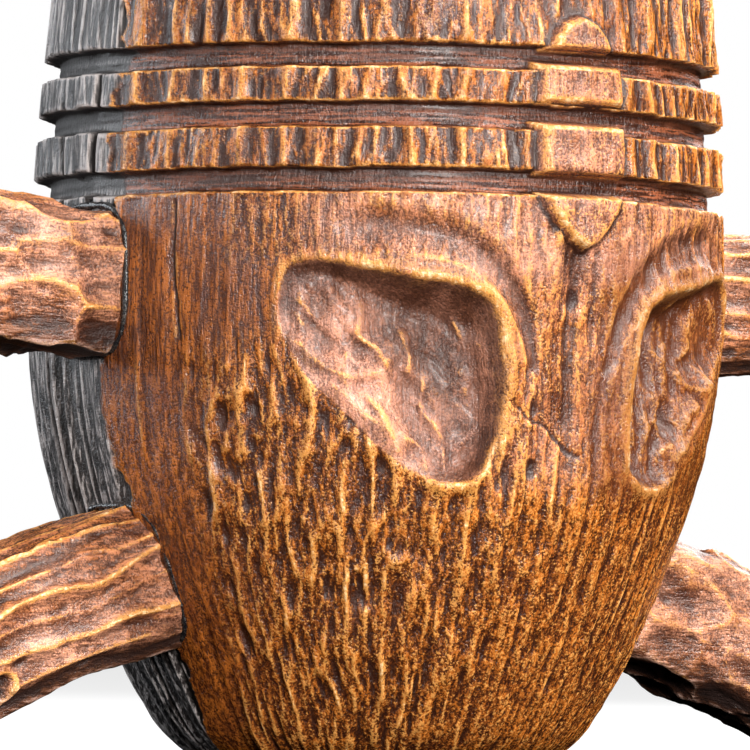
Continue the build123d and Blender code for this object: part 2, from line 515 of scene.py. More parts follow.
@dataclass(frozen=True)
class StainedWood:
    """Brown stained and varnished wood with gold rubbed on its ridges, and painted highlights, shade and
    sheen.

    The mesh carries ridge, hollow, raised, gilding, inside, turned, stain, end and burnt, each from 0
    to about 1, and ring, which is the distance from the middle of the growth rings in mm.  Of these,
    hollow is painted shade, with the grooves' dark streaks; ridge is partly rubbed gold and partly a
    painted highlight; inside is the bare wood, with painted sheen on the brow and the face's middle;
    and burnt is the weathered back, with painted shade under the limbs.
    """

    name: str
    grain: Grain
    dark: Colour = (0.028, 0.008, 0.004)
    brown: Colour = (0.160, 0.040, 0.009)
    amber: Colour = (0.460, 0.132, 0.017)
    gold: Colour = (0.700, 0.310, 0.075)
    pale_gold: Colour = (0.920, 0.660, 0.360)
    # Bare wood, made brighter to stand also for the painted sheen on the sockets and the brow.
    rose_with_sheen: Colour = (0.620, 0.285, 0.190)
    russet: Colour = (0.290, 0.090, 0.040)
    mauve: Colour = (0.170, 0.075, 0.052)
    soot: Colour = (0.016, 0.012, 0.011)
    ash: Colour = (0.430, 0.385, 0.370)
    rub: float = 0.75

    def make(self) -> bpy.types.Material:
        """Return the material."""
        p = Paints(self.name)
        ridge, shade_and_streaks = p.painted("ridge"), p.painted("shade_and_streaks")
        gilding, inside, weathered_and_shade = p.painted("gilding"), p.painted("inside"), p.painted("weathered_and_shade")
        along, even = p.place(self.grain.value), p.place(Grain.NONE.value)
        streak, fine = p.noise(along, 0.55, 4.0), p.noise(along, 2.0, 3.0, 0.65)
        cloud, speck = p.noise(even, 0.10), p.noise(even, 1.5, 2.0, 0.7)
        pores = p.noise(even, 3.4, 2.0, 0.6)

        # The stained wood, bare and rose inside and in the sockets, the rose standing also for painted
        # sheen, with dark pores, and painted shade in its hollows.
        grain = streak * 0.7 + fine * 0.5 + cloud * 0.35 - 0.32
        wood = p.mix(grain.ramp(0.30, 0.64), self.brown, self.amber)
        bare = p.mix((p.noise(even, 0.22, 3.0) * 0.7 + pores * 0.3).ramp(0.40, 0.58), self.mauve, self.rose_with_sheen)
        wood = p.mix(inside * 0.8, wood, bare)
        wood = p.mix(fine.ramp(0.56, 0.40) * (0.75 - 0.35 * inside), wood, self.dark)
        wood = p.mix((shade_and_streaks * (0.7 + 0.8 * streak)).clamp(), wood, self.dark)

        # Gold and dark specks, and gold on the ridges: partly the rubbed gold and partly a painted
        # highlight, whose brightest crests are pale gold.
        grit = pores * 0.6 + speck * 0.4 + 0.22 * p.painted("raised") - 0.11
        wood = p.mix((grit.ramp(0.53, 0.62) * gilding * self.rub).clamp(), wood, self.gold)
        wood = p.mix(grit.ramp(0.485, 0.42) * (0.85 - 0.45 * inside), wood, self.dark)
        wood = p.mix((ridge * (2.6 * pores - 0.4)).ramp(0.15, 0.85) * 0.75, wood, self.gold)
        wood = p.mix((ridge * (2.2 * speck - 0.2)).ramp(0.80, 1.40) * 0.75, wood, self.pale_gold)

        # The turned grooves, with the painted shade and dark streaks on their floors.
        lathe = p.noise(p.place((0.10, 0.10, 1.7)), 1.5, 3.0, 0.6)
        turned = p.mix((lathe * 0.75 + pores * 0.25).ramp(0.46, 0.57), self.dark, self.russet)
        turned = p.mix((shade_and_streaks * 0.8).clamp(), turned, self.dark)
        wood = p.mix(p.painted("turned") * 0.95, wood, turned)

        # The weathered back, with painted shade in its cracks, whose grey is also painted shade under
        # the limbs; the sawn ends; and the thicker stain.
        fibre = (fine + streak * 0.4 + ridge * 0.25 - 0.18).ramp(0.48, 0.76)
        old = p.mix(fibre, self.soot, self.ash)
        old = p.mix((shade_and_streaks * 1.6).clamp(), old, self.soot)
        years = p.painted("ring") * 4.4 + streak * 5.0 + cloud * 6.0
        cut = p.mix((years.sine() * 0.3 + fine).ramp(0.25, 0.85), self.brown, self.rose_with_sheen)
        wood = p.mix(p.painted("end") * 0.75, wood, cut)
        wood = p.mix(p.painted("stain") * 0.55, wood, p.mix(cloud, self.dark, self.brown))
        colour = p.mix(weathered_and_shade, wood, old)

        rough = 0.09 + 0.15 * fine + 0.20 * shade_and_streaks + 0.05 * inside + 0.25 * weathered_and_shade
        normal = p.bump(pores * 0.6 + fine * 0.8 + streak * 0.3, 0.30)
        p.finish(Base_Color=colour, Roughness=rough, Normal=normal, Specular_IOR_Level=0.45)
        return p.finish(Coat_Weight=0.06, Coat_Roughness=0.15)


@dataclass(frozen=True)
class BlackGlue:
    """Dark resin that squeezed out and set, shiny where it is smooth."""

    name: str = "black_glue"
    tar: Colour = (0.006, 0.006, 0.007)
    dust: Colour = (0.070, 0.055, 0.045)

    def make(self) -> bpy.types.Material:
        """Return the material."""
        p = Paints(self.name)
        even = p.place(Grain.NONE.value)
        lumps, grit = p.noise(even, 0.8), p.noise(even, 3.0)
        colour = p.mix((grit * lumps).ramp(0.24, 0.42) * 0.7, self.tar, self.dust)
        normal = p.bump(lumps * 0.7 + grit * 0.4, 0.30)
        return p.finish(Base_Color=colour, Roughness=0.10 + 0.35 * grit, Normal=normal)


@dataclass(frozen=True)
class DowelWood:
    """Plain turned hardwood with fine rings and pores along its length."""

    name: str = "dowel_wood"
    pale: Colour = (0.46, 0.28, 0.13)
    dark: Colour = (0.22, 0.11, 0.045)

    def make(self) -> bpy.types.Material:
        """Return the material."""
        p = Paints(self.name)
        along, even = p.place(Grain.ACROSS.value), p.place(Grain.NONE.value)
        streak, pores = p.noise(along, 1.2, 4.0), p.noise(even, 3.0)
        colour = p.mix((streak * 0.8 + pores * 0.2).ramp(0.35, 0.70), self.dark, self.pale)
        return p.finish(Base_Color=colour, Roughness=0.5 + 0.2 * pores, Normal=p.bump(streak, 0.12))


# ---------------------------------------------------------------------------------- mug body
@dataclass
class TurnedSide:
    """The turned outside of the body, before it is carved.

    Attributes:
        table: heights above the foot and the radius there, in mm.
    """

    table: tuple[tuple[float, float], ...] = (
        (0.0, 18.5),
        (2.0, 22.3),
        (7.6, 28.4),
        (23.2, 36.4),
        (45.0, 43.6),
        (67.0, 45.0),
        (101.0, 42.8),
        (125.5, 40.0),
        (150.0, 36.0),
    )

    def radius(self, z: Field) -> Field:
        """Return the radius at each height."""
        curve = through(self.table, 60)
        return np.interp(z, curve[:, 0], curve[:, 1])


@dataclass
class Eye:
    """One eye: its socket, its rim and the brow channel over it, drawn for the figure's right.

    Attributes:
        outline: the socket's edge, as azimuths and heights.
        channel: the middle of the brow channel, from its outer end down beside the nose.
        ridges: the crests left between the gouges in the socket.
        channel_half: shares of the channel's length, and half its width there.
        channel_depth: how deep the channel is, in mm.
        floor_radius: how far the socket's flat floor is from the axis.
        floor_turn: the azimuth that the floor faces.
        rim_height: how far the socket's rim stands up, in mm.
    """

    outline: tuple[tuple[float, float], ...] = (
        (-49.6, 63.6),
        (-46.0, 64.9),
        (-38.0, 64.5),
        (-28.0, 63.1),
        (-19.5, 61.9),
        (-15.2, 59.4),
        (-13.3, 54.0),
        (-12.9, 47.6),
        (-14.2, 41.7),
        (-18.4, 38.2),
        (-25.4, 38.2),
        (-33.2, 41.5),
        (-41.0, 46.9),
        (-47.0, 52.2),
        (-50.8, 58.6),
    )
    channel: tuple[tuple[float, float], ...] = (
        (-43.0, 69.2),
        (-33.0, 69.5),
        (-24.0, 68.4),
        (-17.5, 66.2),
        (-12.4, 62.2),
        (-9.4, 57.6),
        (-7.6, 52.6),
    )
    ridges: tuple[tuple[tuple[float, float], ...], ...] = (
        ((-38, 61), (-37.5, 58), (-38, 56), (-34.5, 54), (-32.5, 51.5)),
        ((-31, 57), (-29, 53.5), (-29.6, 51)),
        ((-26, 52), (-26.6, 47), (-24, 45), (-22.4, 41.5), (-22.6, 38)),
        ((-49.5, 56), (-45, 53), (-41.4, 51.3), (-38.4, 50.8), (-31.5, 51.8)),
        ((-44, 51.5), (-39, 47.5), (-36, 45.6), (-32, 42.5), (-30, 41)),
        ((-38.5, 49.5), (-34.4, 47), (-32.4, 44), (-32.4, 42)),
        ((-31.5, 43.8), (-27.2, 42.5), (-26, 40.7), (-26.5, 39)),
    )
    channel_half: tuple[tuple[float, float], ...] = ((0.0, 3.6), (0.6, 2.4), (1.0, 1.2))
    channel_depth: float = 1.0
    floor_radius: float = 39.2
    floor_turn: float = 20.0
    rim_height: float = 0.34


@dataclass
class Strap:
    """The raised strap at the front, which the grooves cut into four lugs.

    Attributes:
        lugs: each lug's lowest and highest place, and its half width there, in mm.
        relief: how far the lugs stand out, in mm.
        bevel: how wide their sloping sides are, in mm.
        far_below: the height given to places off the lugs, in mm.
    """

    lugs: tuple[tuple[tuple[float, float], ...], ...] = (
        ((67.3, 0.4), (68.2, 2.4), (70.3, 4.4), (72.0, 5.7), (73.9, 6.5)),
        ((76.6, 6.8), (79.0, 7.1), (82.8, 7.0)),
        ((85.5, 6.9), (88.0, 7.0), (90.3, 6.8)),
        ((92.3, 5.3), (94.0, 4.6), (95.6, 3.0), (96.6, 0.4)),
    )
    relief: float = 1.5
    bevel: float = 1.1
    far_below: float = -9.0

    def height(self, s: Field, z: Field) -> Field:
        """Return how high the nearest lug stands over the turned side, very low off the lugs."""
        top = np.full(s.shape, self.far_below)
        for lug in self.lugs:
            levels, halves = np.array(lug).T
            width = np.interp(z, levels, halves)
            side = (np.abs(s) - width + self.bevel) / self.bevel * self.relief
            ends = np.maximum(levels[0] - z + 0.25, z - levels[-1] + 0.25) * 5.0
            pillow = 0.25 * (s / 7.0) ** 2
            side = side + 5.0 * np.clip(side - self.relief - 0.2, 0, None)
            fall = soft_max(soft_max(side, ends, 3.0), np.zeros(s.shape), 3.5)
            top = np.maximum(top, self.relief + 0.2 - pillow - fall)
        return top


@dataclass
class MugBody:
    """The hollowed log: turned, grooved, carved at the front and weathered at the back.

    Attributes:
        columns: how many points go round.
        step: how far apart the rows are on the carved part, in mm.
        top_step: how far apart they are above fine_top.
        least_step: rows nearer together than this are one row.
        bowl_round: the radius between the bore and its floor.
        lip: the radius of the lip's two edges.
        sole: the radii of the rings under the foot.
        grooves: each turned groove's lower and upper edge.
        around: how far it is round the body where the carving is laid out.
        cracks: each drying crack's azimuths and heights, its depth and its half width.
        burnt_from: the azimuth where the weathered back starts on the figure's right.
        burnt_to: the azimuth where it ends on the figure's left.
        face_heights: the heights between which the face is cut.
        face_half: how many degrees each side of the middle it is cut.
    """

    columns: int = 820
    step: float = 0.34
    top_step: float = 0.55
    least_step: float = 0.04
    fine_top: float = 103.0
    height: float = 150.0
    bore: float = 30.0
    bowl_round: float = 22.0
    floor: float = 16.0
    lip: float = 1.6
    sole: tuple[float, ...] = (17.6, 15.0, 11.0, 7.0, 3.0)
    grooves: tuple[tuple[float, float], ...] = ((73.75, 76.7), (81.85, 85.0), (89.4, 92.35))
    groove_depth: float = 1.85
    around: float = 283.0
    cracks: tuple[tuple[tuple[tuple[float, float], ...], float, float], ...] = (
        (((-12.6, 48.6), (-8.5, 46.0), (-4.5, 45.0), (-0.5, 42.4), (3.5, 41.0)), 0.32, 0.24),
        (((-69.2, 73.5), (-69.6, 66.0), (-68.8, 60.0), (-68.2, 55.0)), 0.60, 0.22),
    )
    burnt_from: float = -84.0
    burnt_to: float = 97.0
    face_heights: tuple[float, float] = (30.0, 74.0)
    face_half: float = 72.0
    side: TurnedSide = field(default_factory=TurnedSide)
    eye: Eye = field(default_factory=Eye)
    strap: Strap = field(default_factory=Strap)

    def tool(self, width: float, length: float, seed: int) -> Tool:
        """Return a tool whose marks meet round the body."""
        return Tool(width, length, seed, self.around)

    def levels(self) -> Field:
        """Return the heights of the rows on the outside, from the lip down to the foot."""
        top = np.arange(self.height - self.lip, self.fine_top, -self.top_step)
        fine = np.arange(self.fine_top, 0.0, -self.step)
        edges = [edge + nudge for pair in self.grooves for edge in pair for nudge in (-0.17, 0.0, 0.17)]
        rows = np.unique(np.concatenate([top, fine, edges, [0.0]]))
        apart = np.append(np.diff(rows) > self.least_step, True)
        return rows[apart][::-1]

    @property
    def arc(self) -> float:
        """Return how far one degree is round the body, in mm."""
        return self.around / 360.0

    def azimuths(self) -> Field:
        """Return the azimuths of the columns, from the middle of the back."""
        return (np.arange(self.columns) / self.columns - 0.5) * 360.0

    def grid(self, z: Field) -> tuple[Field, Field, Field]:
        """Return every place's distance round the body, its height and its azimuth."""
        a, zz = np.meshgrid(self.azimuths(), z)
        return a / 360.0 * self.around, zz, a

    def carve(self, z: Field) -> tuple[Field, dict[str, Field]]:
        """Carve the outside.

        Args:
            z: the rows' heights, in mm.

        Returns:
            The radius everywhere, and the values to paint there.
        """
        s, zz, a = self.grid(z)
        turned = self.side.radius(zz)
        weathered_and_shade, edge = self.weathering(s, zz, a)
        cut, gilding, stain = self.gouges(s, zz, a)
        face, inside, shade = self.face(s, zz, a, turned)
        groove = self.groove_mask(s, zz)

        carved = cut * (1 - inside) + face
        carved = carved * (1 - weathered_and_shade) + weathered_and_shade * (self.old_wood(s, zz) - 0.55)
        turning = 0.05 * np.sin(zz * 14.0) + 0.05 * self.tool(40, 0.7, 65).noise(s, zz)
        floor = -self.groove_depth + turning + 0.10 * self.tool(6, 2.5, 61).rough(s, zz) - 0.3 * weathered_and_shade
        height = carved * (1 - groove) + floor * groove
        lug = self.strap.height(s, zz) + 0.22 * (self.tool(3.0, 3.0, 62).facets(s, zz) - 0.5)
        strap = smoothstep(0.0, 0.2, lug - height)
        height = np.maximum(height, lug)
        height += 0.25 * self.tool(24, 30, 63).noise(s, zz) * (1 - groove)
        height *= smoothstep(0.0, 2.5, zz) * (1 - smoothstep(self.height - 3, self.height - 1.6, zz))

        near = height - blurred(height, (1, 1))
        wide = carved - blurred(carved, (6, 6))
        broken = smoothstep(-0.55, 0.45, self.tool(2.0, 4.6, 67).rough(s, zz))
        # Gold on the crests: partly the rubbed gold, partly a painted highlight where the crests catch the
        # light; the splintered edge of the weathered back is pale too.
        ridge = np.clip(near * 7.5 + wide * 0.35 - 0.06, 0, 1.2) * (0.35 + 0.65 * broken)
        ridge = np.maximum(ridge, edge * (1 - groove))
        # Painted shade: darker in the hollows, over the groove floors with their dark streaks, round the
        # lugs' feet, on the sockets' steep walls, and more of it from the first groove up.
        shade_and_streaks = np.clip(-near * 2.8 - wide * 1.5 - 0.02, 0, 1.0) * (1 - 0.65 * inside)
        shade_and_streaks = (shade_and_streaks * (1 - groove) + groove * self.groove_streaks_and_shade(s, zz)) * (1 - 0.8 * strap)
        lug_foot_shade = smoothstep(-8.0, -0.3, lug - height) * (1 - strap)
        shade_and_streaks = np.maximum(np.maximum(shade_and_streaks, lug_foot_shade), 0.65 * shade)
        shade_and_streaks = np.clip(shade_and_streaks * (1 + 0.9 * smoothstep(73.0, 74.0, zz) * (1 - groove)), 0, 1)
        # Painted sheen: a rose tint, as of bare wood, on the brow band and down the middle of the face,
        # where a glossy highlight falls; it is added to the bare-wood value.
        painted_sheen = 0.60 * window(-42, 42, 8, a) * window(64.5, 73, 3, zz)
        painted_sheen += 0.3 * window(-12, 12, 6, a) * window(40, 66, 5, zz)
        inside = np.maximum(inside, painted_sheen)
        strap_gold = (0.2 + 0.7 * smoothstep(-1, 6, s)) * strap
        paint = {
            "ridge": ridge,
            "shade_and_streaks": shade_and_streaks,
            "raised": np.clip(0.5 + wide * 0.8 + near * 2.5, 0, 1),
            "gilding": np.clip(gilding * (1 - inside * 0.8) * (1 - groove) + strap_gold, 0, 1),
            "inside": np.clip(inside, 0, 1) * (1 - strap) + 0.65 * strap,
            "turned": groove * (1 - strap),
            "stain": stain * (1 - groove),
            "end": np.zeros(s.shape),
            "ring": np.zeros(s.shape),
            "weathered_and_shade": weathered_and_shade * (1 - edge),
        }
        return turned + height, paint

    def groove_mask(self, s: Field, z: Field) -> Field:
        """Return 1 in the turned grooves, with slightly uneven rounded edges."""
        mask = np.zeros(s.shape)
        wobble = 0.16 * self.tool(3.2, 40, 21).rough(s, z) + 0.12 * self.tool(17, 40, 22).noise(s, z)
        for low, high in self.grooves:
            mask = np.maximum(mask, window(low + 0.25, high - 0.25, 0.42, z + wobble))
        return mask

    def groove_streaks_and_shade(self, s: Field, z: Field) -> Field:
        """Return how dark the groove floors are: a bit all over, more in dark streaks, and most in the
        painted shadow under each groove's upper edge.
        """
        streaks = self.tool(24, 0.55, 23).rough(s, z) + 0.6 * self.tool(9, 3, 24).rough(s, z)
        shade = np.zeros(s.shape)
        for _, high in self.grooves:
            # Painted shadow under each groove's overhanging upper edge.
            shade = np.maximum(shade, np.exp(-(((high - 0.35 - z) / 0.55) ** 2)))
        return np.clip(0.40 + 0.60 * streaks + 0.9 * shade, 0, 1)

    def weathering(self, s: Field, z: Field, a: Field) -> tuple[Field, Field]:
        """Return where the wood is weathered, and the pale splintered line at its edge."""
        jag = 2.3 * self.tool(300, 9, 31).rough(s * 0, z) + 1.4 * self.tool(300, 1.8, 32).rough(s * 0, z)
        jag += 3.2 * (smoothstep(22, 12, z) - 1.6 * smoothstep(10, 2, z))
        left = (self.burnt_from + jag - a) * self.around / 360.0
        right = (a - self.burnt_to - jag) * self.around / 360.0
        over = np.maximum(left, right)
        weathered_and_shade = smoothstep(-0.15, 0.45, over)
        splinter = np.exp(-((over - 0.15) / 0.33) ** 2)
        broken = smoothstep(-0.1, 0.5, self.tool(4, 16, 33).rough(s, z))
        return weathered_and_shade, splinter * broken * 0.9

    def old_wood(self, s: Field, z: Field) -> Field:
        """Return the deep upright ridges of the weathered back."""
        bent = s + 1.4 * self.tool(14, 22, 41).noise(s, z)
        broad = 1 - np.abs(self.tool(3.4, 48, 42).noise(bent, z)) * 2
        thin = 1 - np.abs(self.tool(1.5, 34, 43).noise(bent, z)) * 2
        fibre = self.tool(0.8, 14, 46).rough(bent, z, 2)
        split = smoothstep(0.45, 0.85, self.tool(2.2, 26, 44).noise(bent, z))
        return 0.50 * broad + 0.30 * thin + 0.14 * fibre - 1.0 * split

    def gouges(self, s: Field, z: Field, a: Field) -> tuple[Field, Field, Field]:
        """Return the tool marks over the front, where gold was rubbed on, and where stain lies thick."""
        bent = s + 1.0 * self.tool(9, 9, 51).noise(s, z) + 0.35 * self.tool(3, 5, 59).noise(s, z)
        level = z + 2.2 * self.tool(7, 12, 60).noise(s, z)
        tilted = s + 0.9 * self.tool(4, 6, 64).noise(s, z)
        strips = self.tool(2.7, 30, 52).facets(tilted, z, 0.95) - 0.45
        chatter = self.tool(1.2, 4.2, 53).facets(bent, level, 0.9) - 0.5
        fingers = self.tool(2.8, 8.6, 54).facets(bent, level, 0.95, 0.35) - 0.45
        thumbs = self.tool(3.2, 5.4, 55).scoops(bent, z, 0.42, 0.44)
        ribs = 1 - 2 * np.abs(self.tool(2.6, 22, 56).noise(bent, z))
        lines = self.tool(0.95, 16, 57).noise(s, z)
        swell = self.tool(4.5, 7, 66).rough(s, z)
        patch = self.tool(22, 16, 58).rough(s, z)

        high = smoothstep(73.0, 74.0, z)
        low_left = window(-64, -12, 9, a + 4 * patch) * (1 - smoothstep(48, 56, z + 5 * patch))
        right = smoothstep(-16, -2, a) * (1 - high)
        plain = (1 - smoothstep(-66, -54, a + 6 * patch)) * (1 - high)
        over_eye = window(-58, -4, 5, a) * smoothstep(63, 66, z) * (1 - high)

        cut = high * (0.90 * strips * (0.85 + 0.8 * patch) + 0.30 * chatter + 0.16 * swell)
        fade = 1 - 0.45 * smoothstep(-34, -16, a) * (1 - smoothstep(30, 40, z))
        cut += low_left * fade * (0.90 * fingers * (0.8 + 0.9 * patch) - 0.60 * thumbs + 0.36 * chatter)
        specks = self.tool(1.1, 1.8, 68).facets(bent, z, 0.95) - 0.5
        cut += 0.13 * specks * np.maximum(low_left, right) * smoothstep(-0.3, 0.5, patch + 0.3)
        low_thumbs = 0.35 * thumbs * (1 - smoothstep(40, 48, z))
        cut += right * (0.20 * lines - low_thumbs + 0.16 * ribs + 0.12 * chatter)
        cut += plain * (0.17 * ribs + 0.12 * lines)
        cut += over_eye * (0.25 * chatter + 0.12 * swell)
        cut += 0.08 * swell
        stain = np.clip(0.45 * plain + 0.9 * window(8, 80, 6, a) * window(38, 66, 4, z), 0, 1)
        gilding = 0.30 + 0.7 * low_left + 0.75 * right + 0.05 * high
        gilding = gilding + 0.4 * over_eye - 0.25 * plain + 0.3 * patch
        return cut, gilding, stain

    def face(self, s: Field, z: Field, a: Field, turned: Field) -> tuple[Field, Field, Field]:
        """Carve the eyes, brows and nose.

        Args:
            s: the places round the body, in mm.
            z: their heights, in mm.
            a: their azimuths.
            turned: the turned radius there, in mm.

        Returns:
            The height, where the cut wood is bare, and the painted shade on the sockets' steep walls.
        """
        height, bare, shade = (np.zeros(s.shape) for _ in range(3))
        low, high = self.face_heights
        part = np.ix_((z[:, 0] > low) & (z[:, 0] < high), np.abs(a[0]) < self.face_half)
        s, z, a, turned = s[part], z[part], a[part], turned[part]
        ms = -np.abs(s)
        wave = 0.28 * self.tool(5, 5, 71).rough(s, z)

        loop = through(self.eye.outline, 8, closed=True) * (self.arc, 1.0)
        inward = depth_inside(ms, z, loop) + wave
        floor = turned - self.eye.floor_radius / np.cos(np.radians(np.abs(a) - self.eye.floor_turn))
        floor = np.clip(floor, 0.9, None)
        steep = np.maximum(smoothstep(34, 20, np.abs(a)), smoothstep(52, 61, z))
        wall = soft_max(inward, np.zeros(s.shape), 5.0) * (0.42 + 1.35 * steep)
        drift = s + 2.6 * self.tool(9, 9, 73).rough(s, z)
        slanted = z + 0.5 * s + 1.6 * self.tool(6, 6, 74).noise(s, z)
        facets = self.tool(5.4, 11.0, 72).facets(drift, slanted, 0.95)
        depth = soft_min(floor, wall, 1.6) - 0.85 * (facets - 0.4) * smoothstep(0.5, 3.0, inward)
        for ridge in self.eye.ridges:
            gap, along = to_path(ms, z, through(ridge, 5) * (self.arc, 1.0))
            depth -= 0.75 * np.exp(-np.abs(gap + wave) / 0.75) * window(0.15, 0.85, 0.15, along)
        wrinkle = self.tool(1.5, 5.5, 76).rough(drift + 0.9 * z, z - 0.5 * s)
        depth -= 0.26 * wrinkle * smoothstep(0.5, 3.0, inward)
        dents = self.tool(3.4, 4.2, 77).scoops(drift, z + 0.6 * s, 0.45, 0.46)
        depth += 0.35 * dents * smoothstep(1.0, 3.0, inward)
        scales = self.tool(2.7, 3.8, 75).facets(s, z, 0.9) - 0.5
        depth -= 0.30 * scales * smoothstep(0.5, 2.5, inward) * smoothstep(0, 6, a)
        socket = smoothstep(-0.22, 0.22, inward)
        rim = self.eye.rim_height * np.exp(-(((inward + 0.7) / 0.75) ** 2)) * (0.25 + 0.75 * steep)

        gap, along = to_path(ms, z, through(self.eye.channel, 8) * (self.arc, 1.0))
        half = np.interp(along, *np.transpose(self.eye.channel_half))
        fade = smoothstep(0.0, 0.16, along + 0.02) * (0.55 + 0.45 * smoothstep(1.0, 0.75, along))
        trough = np.clip(1 - (gap / half) ** 2, 0, 1)
        crisp = smoothstep(-5.0, -3.6, inward)
        trough = trough ** 1.8 * (1 - crisp) + trough * crisp
        brow = -self.eye.channel_depth * trough * fade * (1 - socket)

        bridge = -2.1 * np.exp(-((s / 8.5) ** 2)) * window(48, 56, 13, z)
        vee = -0.8 * np.exp(-((s / np.interp(z, [58, 67], [0.9, 3.4])) ** 2)) * window(61, 66.5, 2.0, z)
        made = -np.clip(depth, 0, None) * socket + rim * (1 - socket) + brow + (bridge + vee) * (1 - socket)
        height[part] = made - self.crack(s, z) * (1 - socket)
        # Painted shade on the sockets' steep upper and inner walls, which face away from the light.
        shade[part] = socket * smoothstep(3.4, 0.6, inward) * steep
        bare[part] = np.clip(socket + 0.8 * trough * fade, 0, 1) * (1 - 0.8 * smoothstep(0, 8, a))
        return height, bare, shade

    def crack(self, s: Field, z: Field) -> Field:
        """Return the drying cracks in the face."""
        deep = np.zeros(s.shape)
        jagged = z + 0.35 * self.tool(1.6, 1.6, 81).rough(s, z)
        ragged = s + 0.2 * self.tool(2, 2, 82).rough(s, z)
        for path, depth, width in self.cracks:
            gap, along = to_path(ragged, jagged, through(path, 6) * (self.arc, 1.0))
            deep += depth * np.exp(-((gap / width) ** 2)) * window(0.05, 0.95, 0.05, along)
        return deep

    def build(self) -> bpy.types.Object:
        """Build the body as one closed skin, from the bowl's middle over the lip to the foot's."""
        z = self.levels()
        radius, paint = self.carve(z)
        profile = np.array(self.inner_profile() + self.lip_profile())
        inner = self.rings(profile[:, :1], profile[:, 1:])
        foot = self.rings(np.array(self.sole)[:, None], 0.0)
        rings = np.vstack([inner, self.rings(radius, z[:, None]), foot])
        over, under = self.plain_paint(inner), self.plain_paint(foot)
        paint = {label: np.vstack([over[label], values, under[label]]) for label, values in paint.items()}
        return Skin(rings, ((0, 0, self.floor), (0, 0, 0)), paint).build("carved_body")

    def rings(self, radius: Field, z: Any) -> Field:
        """Return the points of some rings, from their radii and heights in rows."""
        azimuth = np.radians(self.azimuths())
        return spread(radius * np.sin(azimuth), -radius * np.cos(azimuth), z)

    def inner_profile(self) -> list[tuple[float, float]]:
        """Return radii and heights up the inside, from the bowl's floor to the lip."""
        middle, level = self.bore - self.bowl_round, self.floor + self.bowl_round
        flat = [(r, self.floor) for r in np.linspace(1.2, middle, 7)[:-1]]
        turns = np.radians(np.linspace(-90, 0, 40))
        turned = self.bowl_round * spread(np.cos(turns), np.sin(turns))
        bowl = [(middle + across, level + up) for across, up in turned]
        wall_step = 1.5
        wall = [(self.bore, z) for z in np.arange(level + wall_step, self.height - self.lip, wall_step)]
        return flat + bowl + wall

    def lip_profile(self) -> list[tuple[float, float]]:
        """Return radii and heights over the rounded lip."""
        outer = float(self.side.radius(np.array(self.height)))
        level = self.height - self.lip
        points = []
        for middle, first, last in ((self.bore + self.lip, 180, 90), (outer - self.lip, 90, 8)):
            turns = np.radians(np.linspace(first, last, 7))
            points += [(middle + self.lip * math.cos(t), level + self.lip * math.sin(t)) for t in turns]
        return points

    def plain_paint(self, rings: Field) -> dict[str, Field]:
        """Return the values painted on the uncarved inside, lip and sole."""
        z = rings[..., 2]
        values = {
            "ridge": 0.45 * smoothstep(self.height - 0.9, self.height - 0.1, z),
            # Painted shade, deeper down inside the bowl.
            "shade_and_streaks": 0.35 * (1 - smoothstep(20.0, 120.0, z)) * smoothstep(1.0, 10.0, z),
            "raised": np.full(z.shape, 0.45),
            "inside": 0.55 * smoothstep(4.0, 12.0, z),
            "end": np.where(z > 1, smoothstep(self.height - 1.5, self.height - 0.7, z), 1.0),
            "ring": np.linalg.norm(rings[..., :2], axis=-1),
        }
        return values | {label: np.zeros(z.shape) for label in ("gilding", "turned", "stain", "weathered_and_shade")}


# -------------------------------------------------------------------------------------- limbs
class LimbStyle(Enum):
    """How a limb is gouged: its facets' width and length, and how deep they are, in mm."""

    SCALLOPED = (4.6, 9.0, 1.5)
    RIDGED = (3.3, 42.0, 1.45)
    BARK = (4.8, 7.5, 1.2)


